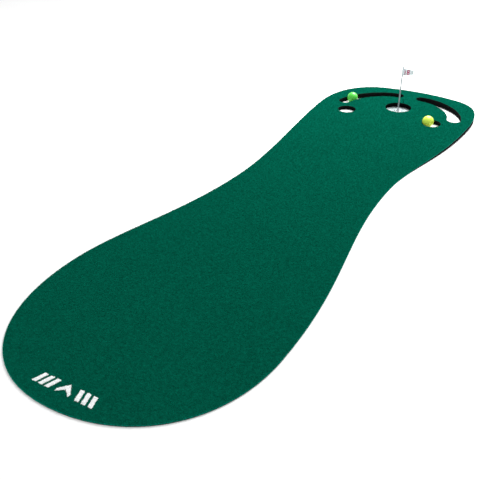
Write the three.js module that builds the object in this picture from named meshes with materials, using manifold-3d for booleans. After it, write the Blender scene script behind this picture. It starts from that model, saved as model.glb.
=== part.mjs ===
// Practice putting mat: a turf sheet on rubber, shaped like a kidney, with a foam ramp under its cup end,
// three cup holes, two sand traps cut through it, a loose cup plate with a flagstick, and two golf balls.
// Millimetres, +Z up. +Y points from the tee end to the cup end; the origin is on the floor at the middle.
import * as THREE from "three";
import { mergeVertices } from "three/addons/utils/BufferGeometryUtils.js";
import Module from "manifold-3d";

// The mat's outline is a kidney shape, so its two sides differ a little. Each side runs from the widest place
// of the head, through the waist, to the widest place of the bulb. Distances "from the cup" or "from the tee"
// run along the mat from that end, and half widths run out from its middle line.
const LENGTH = 2150;
const BULB_WIDTH = 660;
const RIGHT_SIDE = {
  head: 296,
  headFromCup: 248,
  waist: 226,
  waistFromCup: 871,
  bulbFromTee: 366,
  neckHold: [315, 184], // how far a curve keeps straight along the mat, at its start and its end
  flareHold: [360, 358],
};
const LEFT_SIDE = {
  head: 295,
  headFromCup: 271,
  waist: 232,
  waistFromCup: 999,
  bulbFromTee: 427,
  neckHold: [182, 160],
  flareHold: [344, 202],
};
const END_RADIUS = 660; // the broad arc across the cup end
const END_ARC_MIDDLE = 20;
const END_ARC_HALF = 155; // how far that arc runs to each side of its middle
const CORNER_HOLD = 90; // how far that arc's own line leads on into the corner
const HEAD_HOLD = 0.54; // share of the way to the cup end that the head keeps its full width
const BULB_HOLD = 0.57; // share of the way to the tee end that the bulb keeps its full width
const TEE_HOLD = 0.65; // share of the half width that the tee end runs straight across

// The layers of the sheet, from the floor up, and the glue line between them.
const RUBBER = 1.4;
const BACKING = 0.4;
const PILE = 1.6;
const GLUE = 0.3;

// The foam ramp under the cup end.
const RAMP_LENGTH = 750;
const RAMP_RISE = 22;
const FOAM_TOE = 0.5; // the foam's thickness where it starts

// The holes and the two sand traps.
const CUP_HOLE = 101.6;
const CUP_FROM_CUP_END = 202;
const SIDE_HOLE = 70;
const RIGHT_HOLE_X = 166;
const RIGHT_HOLE_FROM_CUP_END = 294;
const LEFT_HOLE_X = -170;
const LEFT_HOLE_FROM_CUP_END = 319;
// Each trap's width at its inner and its outer end, and the line along its middle: where it starts and ends,
// and the points that it bends towards. Each point is [out from the mat's middle line, from the cup end].
const RIGHT_TRAP = {
  innerWidth: 46,
  outerWidth: 53,
  start: [51, 72],
  firstBend: [130, 71],
  lastBend: [214, 136],
  end: [229, 220],
};
const LEFT_TRAP = {
  innerWidth: 44,
  outerWidth: 49,
  start: [45, 78],
  firstBend: [112, 79],
  lastBend: [199, 153],
  end: [214, 238],
};

// The printed mark near the tee end.
const MARK_WIDTH = 162;
const MARK_HEIGHT = 30;
const MARK_FROM_TEE = 56;
const MARK_BARS = 3; // on each side of the arrow
const MARK_BAR_WIDTH = 10;
const MARK_SLANT = 9; // how far a bar leans over its height
const ARROW_WIDTH = 36;
const ARROW_NOTCH = 15; // how thick the arrow's two arms are, up the mat
const MARK_FILM = 0.5;

// The loose plate in the middle hole.
const PLATE_CLEARANCE = 0.9;
const PLATE_METAL = 1.2;
const PLATE_WEB_TOP = 2.6;
const PLATE_RIM = 0.7; // how far the rim stands over the web
const HUB_RADIUS = 11;
const HUB_TOP = 4.4;
const RIBS = 8;
const RIB_WIDTH = 3;
const RIB_HEIGHT = 0.5;
const RIB_MARGIN = 6; // bare web at each end of a rib
const RIM_BEVEL = 0.6;
const RIM_FLAT = 2; // the flat top of the rim
const HUB_SLOPE = 3; // how far the hub's side spreads outwards on its way down
const DRAIN_HOLE = 5;

// The flag socket, its screw and its washer.
const SOCKET_BASE = 7.5; // radii
const SOCKET_TOP = 4.3;
const SOCKET_HEIGHT = 11;
const SOCKET_FOOT = 1.2; // its foot's straight edge
const SOCKET_WAIST = 5; // where its flare ends, above its foot
const SOCKET_FLOOR = 3.8; // the bottom of the stick's bore, above the socket's foot
const SCREW_RADIUS = 1.2;
const SCREW_HEAD_RADIUS = 2.8;
const SCREW_HEAD = 1.3;
const SCREW_DOME = 0.5; // how far the head's edge is rounded over
const SCREW_BITE = 2.2; // how far the screw goes into the socket
const WASHER_RADIUS = 4;
const WASHER = 0.4;

// The flagstick and the flag.
const STICK_RADIUS = 2.75;
const STICK_LENGTH = 175;
const FIT = 0.3; // running gap round the stick, and between touching pieces
const CAP_HEIGHT = 8;
const CAP_WALL = 0.75;
const CAP_COVERS = 5.5;
const CAP_DOME = 1.6; // how much of the cap's height is its dome
const STICK_BEVEL = 0.5;
const HOIST = 31;
const FLY_HEIGHT = 17.5;
const FLAG_LENGTH = 44;
const FLAG_TOP_DROP = 9; // how far the top edge falls towards the fly
const SLEEVE_WALL = 0.7;
const CLOTH = 0.8;
const COLLAR_HEIGHT = 2.3;
const COLLAR_WALL = 1.2;
const FLAG_TURN = THREE.MathUtils.degToRad(31);
const DIGIT_HEIGHT = 21;
const DIGIT_WIDTH = 11;
const DIGIT_STROKE = 3;
const DIGIT_WAIST = 0.7; // share of its half width that the 8 keeps in the middle
const ONE_FROM_STICK = 10.5;
const EIGHT_FROM_STICK = 23;
const DIGIT_DROP = 1; // below the middle of the hoist
const DIGIT_FILM = 0.2;

// The balls.
const BALL = 42.67;
const COVER = 1.9;
const BALL_GAP = 0.4; // from a ball to the wall that it leans on
const GREEN_BALL_FROM_CUP_END = 198;
const BALL_STEP = 0.1; // how finely the green ball's place is found
const YELLOW_BALL_BEARING = THREE.MathUtils.degToRad(185); // from the right hole's middle

// How finely round shapes are drawn.
const SIDES_SMALL = 24;
const SIDES_DRAIN = 12;
const SIDES_CUP = 40;
const SIDES_BALL = 20;
const STEPS_CURVE = 20;
const STEPS_ARC = 5;
const STEPS_DIGIT = 6;
const STEPS_ROUND = 8;

const wasm = await Module();
wasm.setup();

const CUP_END = LENGTH / 2;
const TEE_END = -LENGTH / 2;
const FOLD = CUP_END - RAMP_LENGTH;
const at = (x, fromCup) => new THREE.Vector2(x, CUP_END - fromCup);
const material = (color, roughness, metalness = 0) =>
  new THREE.MeshStandardMaterial({ color, roughness, metalness });

const TURF_GREEN = material(0x04674f, 0.95);
const BACKING_GREY = material(0x2c3530, 0.9);
const RUBBER_BLACK = material(0x101112, 0.8);
const FOAM_BLACK = material(0x0b0b0c, 0.95);
const FILM_WHITE = material(0xf2f2ee, 0.6);
const PLATE_SILVER = material(0xa7abab, 0.35, 1);
const STEEL = material(0x8e9294, 0.3, 1);
const PLASTIC_WHITE = material(0xe8eef2, 0.4);
const STICK_WHITE = material(0xdde6ec, 0.35);
const FLAG_CLOTH = material(0xdfe8f0, 0.85);
const DIGIT_RED = material(0xc23a5c, 0.7);
const BALL_GREEN = material(0x53d63a, 0.3);
const BALL_YELLOW = material(0xe2f03c, 0.3);
const CORE_GREY = material(0x55606a, 0.8);

function named(name, geometry, look, parent) {
  const mesh = new THREE.Mesh(geometry, look);
  mesh.name = name;
  parent.add(mesh);
  return mesh;
}

// Joins and cuts.

function solidOf(geometry) {
  const bare = geometry.clone();
  bare.deleteAttribute("normal");
  bare.deleteAttribute("uv");
  const merged = mergeVertices(bare, 1e-4);
  return new wasm.Manifold(
    new wasm.Mesh({
      numProp: 3,
      vertProperties: merged.attributes.position.array,
      triVerts: new Uint32Array(merged.index.array),
    }),
  );
}

function geometryOf(solid) {
  const mesh = solid.getMesh();
  const geometry = new THREE.BufferGeometry();
  geometry.setAttribute("position", new THREE.BufferAttribute(mesh.vertProperties, 3));
  geometry.setIndex(new THREE.BufferAttribute(mesh.triVerts, 1));
  geometry.computeVertexNormals();
  return geometry;
}

// A solid turned about the Z axis, from a profile of [radius, height] pairs.
function turned(profile, sides = SIDES_SMALL) {
  const points = profile.map(([radius, height]) => new THREE.Vector2(radius, height));
  return new THREE.LatheGeometry(points, sides).rotateX(Math.PI / 2);
}

// A closed profile for a ring: it ends where it starts.
function ringProfile(inner, outer, low, high) {
  return [
    [inner, low],
    [outer, low],
    [outer, high],
    [inner, high],
    [inner, low],
  ];
}

// The whole numbers from 0 up to one less than "count".
function counted(count) {
  return [...Array(count).keys()];
}

// A flat shape of even thickness, lying on the height "low".
function plate(shape, low, thickness) {
  const geometry = new THREE.ExtrudeGeometry(shape, { depth: thickness, bevelEnabled: false });
  return geometry.translate(0, 0, low);
}

// The outline and the openings, as loops of points in plan.

function pointsAlong(curve) {
  return curve.getPoints(STEPS_CURVE).slice(0, -1);
}

function mirrored(points) {
  return points.map((p) => new THREE.Vector2(-p.x, p.y)).reverse();
}

// One side of the outline, from the middle of the cup end round to the middle of the tee end.
// The side is drawn to +X; "lean" is how far the cup end's arc is set over to that side.
function sideEdge(side, lean) {
  const arcTurn = Math.asin(END_ARC_HALF / END_RADIUS);
  const arcPoint = (turn) =>
    at(lean + END_RADIUS * Math.sin(turn), END_RADIUS * (1 - Math.cos(turn)));
  const end = counted(STEPS_ARC).map((i) => arcPoint((arcTurn * i) / STEPS_ARC));
  const arcEnd = arcPoint(arcTurn);
  const bulb = BULB_WIDTH / 2;
  const bulbFromCup = LENGTH - side.bulbFromTee;
  const corner = new THREE.CubicBezierCurve(
    arcEnd,
    new THREE.Vector2(
      arcEnd.x + CORNER_HOLD * Math.cos(arcTurn),
      arcEnd.y - CORNER_HOLD * Math.sin(arcTurn),
    ),
    at(side.head, side.headFromCup * (1 - HEAD_HOLD)),
    at(side.head, side.headFromCup),
  );
  const neck = new THREE.CubicBezierCurve(
    at(side.head, side.headFromCup),
    at(side.head, side.headFromCup + side.neckHold[0]),
    at(side.waist, side.waistFromCup - side.neckHold[1]),
    at(side.waist, side.waistFromCup),
  );
  const flare = new THREE.CubicBezierCurve(
    at(side.waist, side.waistFromCup),
    at(side.waist, side.waistFromCup + side.flareHold[0]),
    at(bulb, bulbFromCup - side.flareHold[1]),
    at(bulb, bulbFromCup),
  );
  const tee = new THREE.CubicBezierCurve(
    at(bulb, bulbFromCup),
    at(bulb, bulbFromCup + side.bulbFromTee * BULB_HOLD),
    at(bulb * TEE_HOLD, LENGTH),
    at(0, LENGTH),
  );
  const curves = [corner, neck, flare, tee];
  return withFoldPoint([...end, ...curves.flatMap(pointsAlong), at(0, LENGTH)]);
}

// Adds the point where an edge crosses the line on which the ramp starts to lift the sheet.
function withFoldPoint(edge) {
  const crossing = edge.findIndex((p) => p.y < FOLD);
  const [above, below] = [edge[crossing - 1], edge[crossing]];
  const share = (above.y - FOLD) / (above.y - below.y);
  const fold = new THREE.Vector2(above.x + (below.x - above.x) * share, FOLD);
  return [...edge.slice(0, crossing), fold, ...edge.slice(crossing)];
}

// The whole outline, counter-clockwise.
function matOutline() {
  const right = sideEdge(RIGHT_SIDE, END_ARC_MIDDLE);
  const left = mirrored(sideEdge(LEFT_SIDE, -END_ARC_MIDDLE));
  return [...right, ...left.slice(1, -1)].reverse();
}

function circleLoop(x, fromCup, radius, sides) {
  return counted(sides).map((i) => {
    const turn = (-2 * Math.PI * i) / sides;
    return at(x + radius * Math.cos(turn), fromCup - radius * Math.sin(turn));
  });
}

// A sand trap: a slot with round ends along a curved line, drawn to +X and clockwise.
function trapLoop({ innerWidth, outerWidth, start, firstBend, lastBend, end }) {
  const middle = new THREE.CubicBezierCurve(
    at(...start),
    at(...firstBend),
    at(...lastBend),
    at(...end),
  );
  const around = (share, turn) => {
    const half = THREE.MathUtils.lerp(innerWidth, outerWidth, share) / 2;
    const out = middle.getTangent(share).rotateAround(new THREE.Vector2(), turn);
    return middle.getPoint(share).addScaledVector(out, half);
  };
  const quarter = Math.PI / 2;
  const along = counted(STEPS_CURVE).map((i) => i / STEPS_CURVE);
  const across = counted(STEPS_ROUND).map((i) => quarter - (Math.PI * i) / STEPS_ROUND);
  return [
    ...along.map((share) => around(share, quarter)),
    ...across.map((turn) => around(1, turn)),
    ...along.map((share) => around(1 - share, -quarter)),
    ...across.map((turn) => around(0, turn + Math.PI)),
  ];
}

const outline = matOutline();
const leftTrap = mirrored(trapLoop(LEFT_TRAP));
const holes = [
  circleLoop(0, CUP_FROM_CUP_END, CUP_HOLE / 2, SIDES_CUP),
  circleLoop(RIGHT_HOLE_X, RIGHT_HOLE_FROM_CUP_END, SIDE_HOLE / 2, SIDES_CUP),
  circleLoop(LEFT_HOLE_X, LEFT_HOLE_FROM_CUP_END, SIDE_HOLE / 2, SIDES_CUP),
  trapLoop(RIGHT_TRAP),
  leftTrap,
];

// The part of a loop on the cup side of the line y = from, closed by that line.
function cupSideOf(loop, from) {
  const kept = [];
  loop.forEach((p, i) => {
    const q = loop[(i + 1) % loop.length];
    if (p.y >= from) kept.push(p);
    if ((p.y > from && q.y < from) || (p.y < from && q.y > from)) {
      const share = (from - p.y) / (q.y - p.y);
      kept.push(new THREE.Vector2(p.x + (q.x - p.x) * share, from));
    }
  });
  return kept;
}

// A closed solid over one or more plan regions, its faces at the heights low(y) and high(y).
// Regions that meet on the fold share its two end points, so they need no wall there.
function prism(regions, low, high) {
  const corners = [];
  const put = (height, ...points) =>
    points.forEach((p) => corners.push(p.x, p.y, height(p.y)));
  for (const { contour, openings } of regions) {
    const loops = [contour, ...openings];
    const points = loops.flat();
    for (const triangle of THREE.ShapeUtils.triangulateShape(contour, openings)) {
      const [a, b, c] = triangle.map((i) => points[i]);
      put(high, a, b, c);
      put(low, c, b, a);
    }
    for (const loop of loops) {
      loop.forEach((p, i) => {
        const q = loop[(i + 1) % loop.length];
        if (regions.length > 1 && p.y === FOLD && q.y === FOLD) return;
        put(low, p, q);
        put(high, q);
        put(low, p);
        put(high, q, p);
      });
    }
  }
  const geometry = new THREE.BufferGeometry();
  geometry.setAttribute("position", new THREE.Float32BufferAttribute(corners, 3));
  geometry.computeVertexNormals();
  return geometry;
}

// How far the ramp lifts the sheet at a place along the mat.
const lift = (y) => Math.max(0, (RAMP_RISE * (y - FOLD)) / RAMP_LENGTH);

const flatPart = { contour: outline.filter((p) => p.y <= FOLD), openings: [] };
const rampPart = { contour: outline.filter((p) => p.y >= FOLD), openings: holes };

// One layer of the sheet: flat on the floor, then bent up over the ramp.
function layer(bottom, thickness) {
  return prism(
    [flatPart, rampPart],
    (y) => bottom + lift(y),
    (y) => bottom + thickness + lift(y),
  );
}

const BACKING_BOTTOM = RUBBER + GLUE;
const PILE_BOTTOM = BACKING_BOTTOM + BACKING + GLUE;
const MAT_TOP = PILE_BOTTOM + PILE;

function makeSheet(parent) {
  named("rubber_underlay", layer(0, RUBBER), RUBBER_BLACK, parent);
  named("turf_backing", layer(BACKING_BOTTOM, BACKING), BACKING_GREY, parent);
  named("turf_pile", layer(PILE_BOTTOM, PILE), TURF_GREEN, parent);
}

function makeRamp(parent) {
  const toe = FOLD + (RAMP_LENGTH * (FOAM_TOE + GLUE)) / RAMP_RISE;
  const region = { contour: cupSideOf(outline, toe), openings: holes };
  const foam = prism([region], () => 0, (y) => lift(y) - GLUE);
  named("foam_ramp", foam, FOAM_BLACK, parent);
}

// The mark: an arrow that points to the cup, with slanted bars on each side of it.
function makeMark(parent) {
  const middle = TEE_END + MARK_FROM_TEE;
  const half = MARK_HEIGHT / 2;
  const slant = MARK_SLANT;
  const arrowHalf = ARROW_WIDTH / 2;
  const notch = ARROW_NOTCH / 2;
  const outermost = MARK_WIDTH / 2 - MARK_BAR_WIDTH - slant;
  const spacing = (outermost - arrowHalf + slant) / MARK_BARS;
  const place = ([x, y]) => new THREE.Vector2(x, middle + y);
  const arrow = new THREE.Shape(
    [
      [0, half],
      [-arrowHalf, notch - half],
      [-arrowHalf, -half],
      [0, half - notch * 2],
      [arrowHalf, -half],
      [arrowHalf, notch - half],
    ].map(place),
  );
  named("mark_arrow", plate(arrow, MAT_TOP, MARK_FILM), FILM_WHITE, parent);
  for (let i = 0; i < MARK_BARS; i++) {
    const near = outermost - spacing * (MARK_BARS - 1 - i);
    const bar = [
      [near, half],
      [near + slant, -half],
      [near + slant + MARK_BAR_WIDTH, -half],
      [near + MARK_BAR_WIDTH, half],
    ];
    const right = new THREE.Shape(bar.map(place));
    const left = new THREE.Shape(bar.map(([x, y]) => place([-x, y])));
    named(`mark_bar_right_${i + 1}`, plate(right, MAT_TOP, MARK_FILM), FILM_WHITE, parent);
    named(`mark_bar_left_${i + 1}`, plate(left, MAT_TOP, MARK_FILM), FILM_WHITE, parent);
  }
}

const screwHole = SCREW_RADIUS + FIT;
const hubUnder = HUB_TOP - PLATE_METAL;

// The pressed metal plate that lies in the middle hole, with ribs, drain holes and a raised hub.
function makePlate(parent) {
  const radius = CUP_HOLE / 2 - PLATE_CLEARANCE;
  const web = PLATE_WEB_TOP;
  const rim = web + PLATE_RIM;
  const under = web - PLATE_METAL;
  const rimInside = radius - RIM_BEVEL - RIM_FLAT;
  const pressed = [
    [radius, 0],
    [radius, rim - RIM_BEVEL],
    [radius - RIM_BEVEL, rim],
    [rimInside, rim],
    [rimInside - PLATE_RIM, web],
    [HUB_RADIUS + HUB_SLOPE, web],
    [HUB_RADIUS, HUB_TOP],
    [screwHole, HUB_TOP],
    [screwHole, hubUnder],
    [HUB_RADIUS - PLATE_METAL / 2, hubUnder],
    [HUB_RADIUS + HUB_SLOPE - PLATE_METAL / 2, under],
    [radius - PLATE_METAL, under],
    [radius - PLATE_METAL, 0],
    [radius, 0],
  ];
  const ribFrom = HUB_RADIUS + HUB_SLOPE + RIB_MARGIN / 2;
  const ribTo = rimInside - RIB_MARGIN / 2;
  const drainAt = (ribFrom + ribTo) / 2;
  let solid = solidOf(turned(pressed, SIDES_CUP));
  for (let i = 0; i < RIBS; i++) {
    const turn = (2 * Math.PI * i) / RIBS;
    const between = turn + Math.PI / RIBS;
    const rib = new THREE.BoxGeometry(ribTo - ribFrom, RIB_WIDTH, RIB_HEIGHT + PLATE_METAL / 2)
      .translate((ribFrom + ribTo) / 2, 0, web + (RIB_HEIGHT - PLATE_METAL / 2) / 2)
      .rotateZ(turn);
    const drain = new THREE.CylinderGeometry(DRAIN_HOLE / 2, DRAIN_HOLE / 2, 2 * rim, SIDES_DRAIN)
      .rotateX(Math.PI / 2)
      .translate(drainAt * Math.cos(between), drainAt * Math.sin(between), 0);
    solid = solid.add(solidOf(rib)).subtract(solidOf(drain));
  }
  named("cup_plate", geometryOf(solid), PLATE_SILVER, parent);
}

// The white socket on the hub, held by a screw and a washer from below.
function makeSocket(parent) {
  const foot = HUB_TOP;
  const bore = STICK_RADIUS + FIT;
  const screwTop = foot + SCREW_BITE;
  const socket = [
    [0, screwTop + FIT],
    [screwHole, screwTop + FIT],
    [screwHole, foot],
    [SOCKET_BASE, foot],
    [SOCKET_BASE, foot + SOCKET_FOOT],
    [SOCKET_TOP + SOCKET_FOOT / 2, foot + SOCKET_WAIST],
    [SOCKET_TOP, foot + SOCKET_HEIGHT - SOCKET_FOOT],
    [SOCKET_TOP, foot + SOCKET_HEIGHT],
    [bore, foot + SOCKET_HEIGHT],
    [bore, foot + SOCKET_FLOOR],
    [0, foot + SOCKET_FLOOR],
  ];
  const washerTop = hubUnder - FIT;
  const headTop = washerTop - WASHER - FIT;
  const headBottom = headTop - SCREW_HEAD;
  const screw = [
    [0, headBottom],
    [SCREW_HEAD_RADIUS - SCREW_DOME, headBottom],
    [SCREW_HEAD_RADIUS, headBottom + SCREW_DOME],
    [SCREW_HEAD_RADIUS, headTop],
    [SCREW_RADIUS, headTop],
    [SCREW_RADIUS, screwTop],
    [0, screwTop],
  ];
  const washer = ringProfile(screwHole, WASHER_RADIUS, washerTop - WASHER, washerTop);
  named("flag_socket", turned(socket), PLASTIC_WHITE, parent);
  named("socket_washer", turned(washer), STEEL, parent);
  named("socket_screw", turned(screw), STEEL, parent);
}

const stickBottom = HUB_TOP + SOCKET_FLOOR + FIT;
const stickTop = stickBottom + STICK_LENGTH;
const capBottom = stickTop - CAP_COVERS;
const flagTop = capBottom - FIT;
const flagBottom = flagTop - HOIST;

// The stick, the cap pressed over its top, and the collar that the flag's sleeve rests on.
function makeStick(parent) {
  const stick = [
    [0, stickBottom],
    [STICK_RADIUS, stickBottom],
    [STICK_RADIUS, stickTop - STICK_BEVEL],
    [STICK_RADIUS - STICK_BEVEL, stickTop],
    [0, stickTop],
  ];
  const inner = STICK_RADIUS + FIT;
  const outer = inner + CAP_WALL;
  const shoulder = capBottom + CAP_HEIGHT - CAP_DOME;
  const dome = new THREE.EllipseCurve(0, shoulder, outer, CAP_DOME, 0, Math.PI / 2);
  const cap = [
    [0, stickTop + FIT],
    [inner, stickTop + FIT],
    [inner, capBottom],
    [outer, capBottom],
    ...dome.getPoints(4).slice(0, -1).map((p) => [p.x, p.y]),
    [0, shoulder + CAP_DOME],
  ];
  const collarTop = flagBottom - FIT;
  const collar = ringProfile(inner, inner + COLLAR_WALL, collarTop - COLLAR_HEIGHT, collarTop);
  named("flag_stick", turned(stick), STICK_WHITE, parent);
  named("stick_cap", turned(cap), PLASTIC_WHITE, parent);
  named("flag_collar", turned(collar), PLASTIC_WHITE, parent);
}

// A flat shape in the flag's own plane, X along the flag and Z up, between two distances to its front.
function upright(shape, from, to) {
  const geometry = new THREE.ExtrudeGeometry(shape, {
    depth: to - from,
    bevelEnabled: false,
    curveSegments: STEPS_DIGIT,
  });
  return geometry.rotateX(Math.PI / 2).translate(0, -from, 0);
}

function digitOne(x, z) {
  const half = DIGIT_STROKE / 2;
  const top = z + DIGIT_HEIGHT / 2;
  const low = z - DIGIT_HEIGHT / 2;
  const barb = top - DIGIT_STROKE - half;
  const shape = new THREE.Shape();
  shape.moveTo(x - half, low);
  shape.lineTo(x + half, low);
  shape.lineTo(x + half, top);
  shape.lineTo(x - half, top);
  shape.lineTo(x - half - DIGIT_STROKE, barb);
  shape.lineTo(x - half, barb);
  return shape;
}

function digitEight(x, z) {
  const radius = DIGIT_WIDTH / 2;
  const reach = DIGIT_HEIGHT / 2 - radius;
  const waist = radius * DIGIT_WAIST;
  const bend = reach / 3;
  const shape = new THREE.Shape();
  shape.moveTo(x + radius, z - reach);
  shape.quadraticCurveTo(x + radius, z - bend, x + waist, z);
  shape.quadraticCurveTo(x + radius, z + bend, x + radius, z + reach);
  shape.absarc(x, z + reach, radius, 0, Math.PI);
  shape.quadraticCurveTo(x - radius, z + bend, x - waist, z);
  shape.quadraticCurveTo(x - radius, z - bend, x - radius, z - reach);
  shape.absarc(x, z - reach, radius, Math.PI, 2 * Math.PI);
  for (const middle of [z + reach, z - reach]) {
    const eye = new THREE.Path();
    eye.absarc(x, middle, radius - DIGIT_STROKE, 0, 2 * Math.PI, true);
    shape.holes.push(eye);
  }
  return shape;
}

// The flag: a sleeve that turns on the stick, the cloth, and a printed 1 and 8 on each face.
function makeFlag(parent) {
  const bore = STICK_RADIUS + FIT;
  const sleeve = turned(ringProfile(bore, bore + SLEEVE_WALL, flagBottom, flagTop));
  const flyTop = flagTop - FLAG_TOP_DROP;
  const start = bore + SLEEVE_WALL / 2;
  const outlineOfFlag = new THREE.Shape([
    new THREE.Vector2(start, flagBottom),
    new THREE.Vector2(FLAG_LENGTH, flyTop - FLY_HEIGHT),
    new THREE.Vector2(FLAG_LENGTH, flyTop),
    new THREE.Vector2(start, flagTop),
  ]);
  const sheet = upright(outlineOfFlag, -CLOTH / 2, CLOTH / 2);
  const cloth = solidOf(sleeve).add(solidOf(sheet));
  named("flag_cloth", geometryOf(cloth), FLAG_CLOTH, parent);
  const middle = (flagBottom + flagTop) / 2 - DIGIT_DROP;
  const face = CLOTH / 2 + FIT;
  const digits = {
    one: digitOne(ONE_FROM_STICK, middle),
    eight: digitEight(EIGHT_FROM_STICK, middle),
  };
  for (const [digit, shape] of Object.entries(digits)) {
    const front = upright(shape, face, face + DIGIT_FILM);
    const rear = upright(shape, -face - DIGIT_FILM, -face);
    named(`flag_${digit}_front`, front, DIGIT_RED, parent);
    named(`flag_${digit}_rear`, rear, DIGIT_RED, parent);
  }
}

// A two-piece ball: a rubber core in a cover that is moulded from two halves.
function makeBall(colour, look, parent) {
  const outer = BALL / 2;
  const inner = outer - COVER;
  const arc = (radius, from, to, steps) =>
    counted(steps + 1).map((i) => {
      const turn = from + ((to - from) * i) / steps;
      return [radius * Math.cos(turn), outer + radius * Math.sin(turn)];
    });
  const quarter = Math.PI / 2;
  const onAxis = ([, height]) => [0, height];
  const closed = (profile) => {
    const points = [...profile];
    points[0] = onAxis(points[0]);
    points[points.length - 1] = onAxis(points[points.length - 1]);
    return points;
  };
  const steps = SIDES_BALL / 4;
  const upper = closed([...arc(inner, quarter, 0, steps), ...arc(outer, 0, quarter, steps)]);
  const lower = closed([...arc(outer, -quarter, 0, steps), ...arc(inner, 0, -quarter, steps)]);
  const core = closed(arc(inner - FIT, -quarter, quarter, 2 * steps));
  named(`${colour}_ball_core`, turned(core, SIDES_BALL), CORE_GREY, parent);
  named(`${colour}_ball_cover_lower`, turned(lower, SIDES_BALL), look, parent);
  named(`${colour}_ball_cover_upper`, turned(upper, SIDES_BALL), look, parent);
}

// Where a ball on the floor comes to lean on an opening's wall, which is as high as the mat there: on the
// wall's top edge, or on the wall itself if that reaches up past the ball's middle.
function leanDistance(y) {
  const under = Math.max(0, BALL / 2 - (MAT_TOP + lift(y)));
  return Math.sqrt((BALL / 2) ** 2 - under ** 2) + BALL_GAP;
}

function yellowBallPlace() {
  const middle = at(RIGHT_HOLE_X, RIGHT_HOLE_FROM_CUP_END);
  const offset = SIDE_HOLE / 2 - leanDistance(middle.y);
  return new THREE.Vector2(
    middle.x + offset * Math.cos(YELLOW_BALL_BEARING),
    middle.y + offset * Math.sin(YELLOW_BALL_BEARING),
  );
}

// The green ball leans on the near edge of the left trap, level with its own place along the mat.
function greenBallPlace() {
  const y = CUP_END - GREEN_BALL_FROM_CUP_END;
  const reach = leanDistance(y);
  const edges = leftTrap.map((p, i) => {
    const q = leftTrap[(i + 1) % leftTrap.length];
    return new THREE.Line3(new THREE.Vector3(p.x, p.y, 0), new THREE.Vector3(q.x, q.y, 0));
  });
  const clearance = (x) => {
    const place = new THREE.Vector3(x, y, 0);
    const nearest = new THREE.Vector3();
    return Math.min(
      ...edges.map((e) => e.closestPointToPoint(place, true, nearest).distanceTo(place)),
    );
  };
  const crossings = edges.filter((e) => (e.start.y - y) * (e.end.y - y) <= 0);
  const sides = crossings.map((e) => (e.start.x + e.end.x) / 2);
  let x = (Math.min(...sides) + Math.max(...sides)) / 2;
  while (clearance(x + BALL_STEP) > reach) x += BALL_STEP;
  return new THREE.Vector2(x, y);
}

const mat = new THREE.Group();
makeSheet(mat);
makeRamp(mat);
makeMark(mat);

const cup = new THREE.Group();
cup.position.set(0, CUP_END - CUP_FROM_CUP_END, 0);
mat.add(cup);
makePlate(cup);
makeSocket(cup);
makeStick(cup);

const flag = new THREE.Group();
flag.rotation.z = FLAG_TURN;
cup.add(flag);
makeFlag(flag);

const balls = [
  ["green", BALL_GREEN, greenBallPlace()],
  ["yellow", BALL_YELLOW, yellowBallPlace()],
];
for (const [colour, look, place] of balls) {
  const ball = new THREE.Group();
  ball.position.set(place.x, place.y, 0);
  mat.add(ball);
  makeBall(colour, look, ball);
}

export default mat;
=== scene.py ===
"""A practice putting mat: turf on rubber, a foam ramp, a cup plate with a flagstick, and two balls."""

import math

import bmesh
import bpy
import numpy as np
from mathutils import Matrix, Vector
from mathutils.kdtree import KDTree


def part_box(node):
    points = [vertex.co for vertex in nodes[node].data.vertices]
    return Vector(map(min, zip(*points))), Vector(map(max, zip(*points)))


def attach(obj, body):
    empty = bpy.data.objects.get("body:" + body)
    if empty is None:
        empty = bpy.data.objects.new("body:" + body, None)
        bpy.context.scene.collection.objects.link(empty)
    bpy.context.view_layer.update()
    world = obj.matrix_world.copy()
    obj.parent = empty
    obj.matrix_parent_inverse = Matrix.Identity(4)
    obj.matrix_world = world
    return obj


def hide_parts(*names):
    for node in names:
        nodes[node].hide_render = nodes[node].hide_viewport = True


MM = 0.001

# The turf: a base cloth with closed blades standing on it.
BLADE_HEIGHT = 2.1 * MM
BLADE_RADIUS = 0.62 * MM
BLADE_SINK = 1.5 * MM  # how far the base lies below the top of the pile
BLADE_LEAN = 0.55  # radians, to each side
BLADES_PER_M2 = 195000
FRINGE_PER_M2 = 900000
TURF_BANDS = 6
FRINGE_LEAN = 0.9  # radians, to each side
FRINGE_GROW = (0.4, 0.75)  # the least and the greatest size of its blades
FRINGE_DROP = 1.6 * MM  # how far the outer edge's fringe reaches down over the layers

# The foam and the printed pile.
FOAM_ROUGHNESS = 0.7 * MM
FOAM_LUMPS = 6 * MM
PRINT_PER_M2 = 520000
PRINT_CLEARANCE = 0.5 * MM

# The plate.
PLATE_TURNS = 144
PLATE_SHEET = 1.2 * MM
WEB_HEIGHT = 2.6 * MM  # the flat part, over the floor
RIM_HEIGHT = 3.3 * MM
RIM_WIDTH = 4.2 * MM
WEB_RINGS = 16
HUB_FOOT = 14.6 * MM
PLATE_RIBS = 8
RIB_RISE = 0.6 * MM
RIB_START = 17 * MM  # from the middle
RIB_STOP = 7 * MM  # from the edge
RIB_HALF_WIDTH = 2.2 * MM
DRAIN_RADIUS = 2.5 * MM

# The socket, its fasteners and the stick.
SOCKET_RADIUS = 4.3 * MM
SOCKET_BORE = 3.05 * MM
SOCKET_FLOOR = 3.8 * MM
SOCKET_RIBS = 4
SCREW_SHANK = 1.2 * MM
SCREW_HEAD = 1.3 * MM
WASHER_HOLE = 1.55 * MM
STICK_ROWS = 12
STICK_CHAMFER = 0.5 * MM
CAP_GAP = 0.3 * MM
CAP_DOME = 1.9 * MM
CAP_STEPS = 8

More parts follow.
